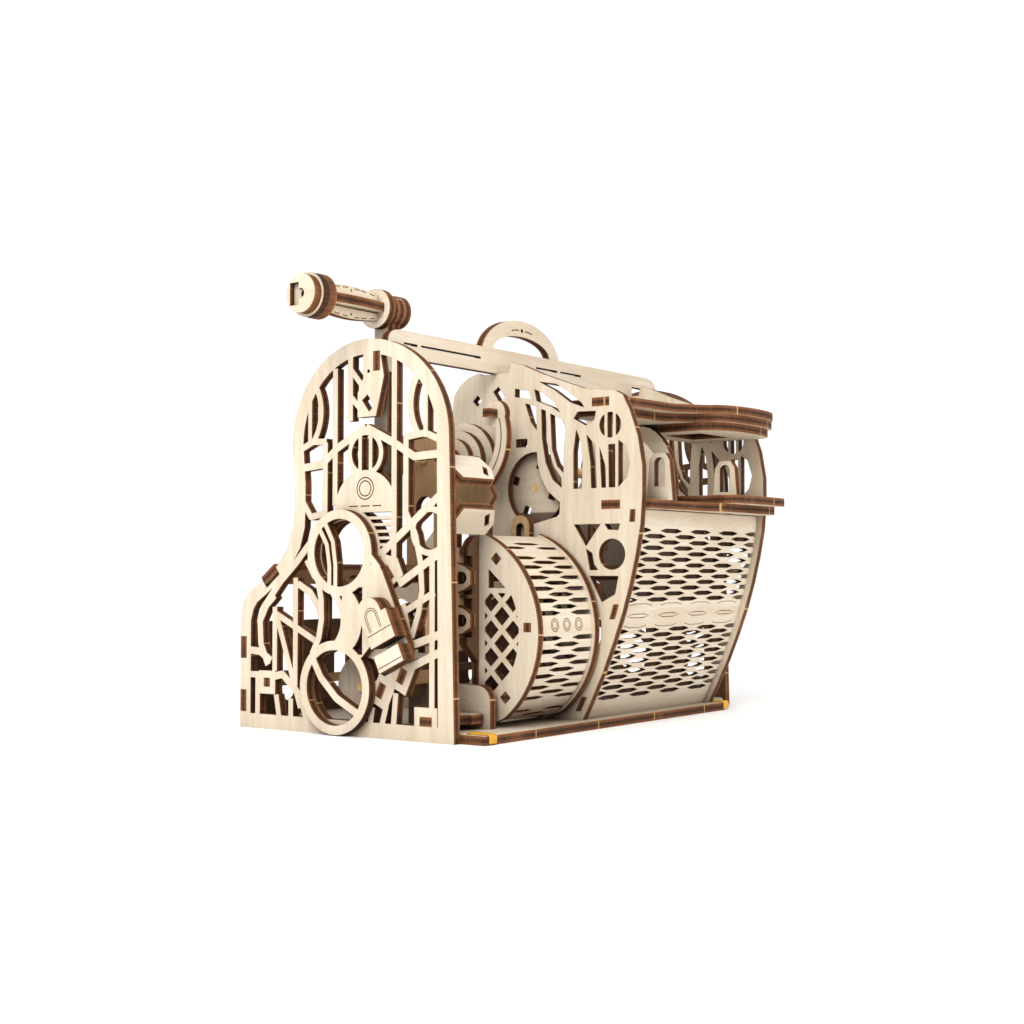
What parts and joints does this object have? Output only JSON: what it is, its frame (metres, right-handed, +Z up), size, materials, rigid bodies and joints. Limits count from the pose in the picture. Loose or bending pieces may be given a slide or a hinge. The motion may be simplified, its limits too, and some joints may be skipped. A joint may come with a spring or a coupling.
{
  "type": "money box",
  "caption": "Slotted plywood money box shaped like an old cash register, with a side pull lever, tilting coin drum, swinging lock lever and lift-off bay lid.",
  "frame": {"origin": "middle of the rectangle on the table under the two side panels, on the underside of the base plate", "axes": "+X along the box, from the panel that carries the lock and the lever grip to the other side panel; +Y from the coin-drum side to the plain back; +Z up"},
  "size_m": [0.2106, 0.1374, 0.1487],
  "materials": {
    "birch_ply": "bare sanded birch plywood, cut edges scorched brown",
    "birch_ply_bright": "bare sanded birch plywood, palest face veneer",
    "charred_edge_ply": "laser-scorched plywood edge",
    "birch_dowel": "bare round dowel",
    "rubber_band": "amber natural rubber"
  },
  "bodies": {
    "case": {"side_panel_near": "birch_ply", "side_panel_far": "birch_ply", "base_plate": "birch_ply", "back_plate": "birch_ply", "back_slope": "birch_ply", "top_rail": "birch_ply", "rib_near": "birch_ply", "rib_far": "birch_ply", "rib_mid": "birch_ply", "bay_mesh": "birch_ply", "bay_shelf": "birch_ply", "shelf_staples": "birch_ply", "canopy_top": "birch_ply", "canopy_middle": "birch_ply", "canopy_peak": "birch_ply", "back_beam": "birch_ply", "waist_beam": "birch_ply", "foot_beams": "birch_ply", "nose_upper": "birch_ply_bright", "nose_lower": "birch_ply_bright", "chute_cheek": "birch_ply", "bearing_plate": "birch_ply", "track": "birch_ply", "track_peg": "charred_edge_ply", "drum_bracket": "birch_ply", "drum_axle": "birch_dowel", "hasp_post": "birch_ply", "hasp_staples": "birch_ply", "drum_catch": "birch_ply", "lock_bracket": "birch_ply", "wheel_axle": "birch_dowel", "base_bands": "rubber_band", "corner_brace": "birch_ply"},
    "lever": {"main_shaft": "birch_dowel", "lever_arm_front": "birch_ply", "lever_arm_back": "birch_ply", "arm_collar": "charred_edge_ply", "grip_spindle": "birch_dowel", "shaft_discs": "birch_ply", "shaft_cam": "birch_ply", "drive_gear": "birch_ply"},
    "grip": {"grip_flange": "birch_ply_bright", "grip_slats": "birch_ply", "grip_cap": "birch_ply_bright"},
    "coin_train": {"counter_shaft": "birch_dowel", "coin_wheel": "birch_ply", "counter_gear": "birch_ply"},
    "lock_lever": {"lock_plate": "birch_ply_bright", "lock_hub_ring": "birch_ply", "lock_retainer": "birch_ply", "lock_grip": "birch_ply_bright"},
    "lock_dial": {"lock_wheel": "birch_ply_bright"},
    "drum": {"drum_cheeks": "birch_ply", "drum_strip": "birch_ply", "drum_door": "birch_ply", "drum_bars": "charred_edge_ply"},
    "lid": {"bay_lid": "birch_ply"}
  },
  "joints": [
    {"name": "lever_pull", "type": "hinge", "parent": "case", "child": "lever", "pos_m": [0, -0.01025, 0.093], "axis": [-1, 0, 0], "range_deg": [0, 55]},
    {"name": "grip_spin", "type": "hinge", "parent": "lever", "child": "grip", "pos_m": [-0.105, -0.01025, 0.1415], "axis": [1, 0, 0], "continuous": true},
    {"name": "coin_train_turn", "type": "hinge", "parent": "case", "child": "coin_train", "pos_m": [0, -0.02983, 0.08387], "axis": [-1, 0, 0], "range_deg": [-87, 0]},
    {"name": "lock_swing", "type": "hinge", "parent": "case", "child": "lock_lever", "pos_m": [-0.09, -0.00175, 0.0603], "axis": [1, 0, 0], "range_deg": [-14, 14]},
    {"name": "lock_dial_turn", "type": "hinge", "parent": "case", "child": "lock_dial", "pos_m": [-0.0795, -0.00125, 0.0153], "axis": [1, 0, 0], "continuous": true},
    {"name": "drum_tilt", "type": "hinge", "parent": "case", "child": "drum", "pos_m": [-0.048, -0.03975, 0.006], "axis": [1, 0, 0], "range_deg": [0, 22]},
    {"name": "bay_lid_lift", "type": "slide", "parent": "case", "child": "lid", "axis": [0, 0, 1], "range_m": [0, 0.02]}
  ],
  "couplings": [
    {"joint": "coin_train_turn", "follows": "lever_pull", "ratio": -1.5714}
  ]
}
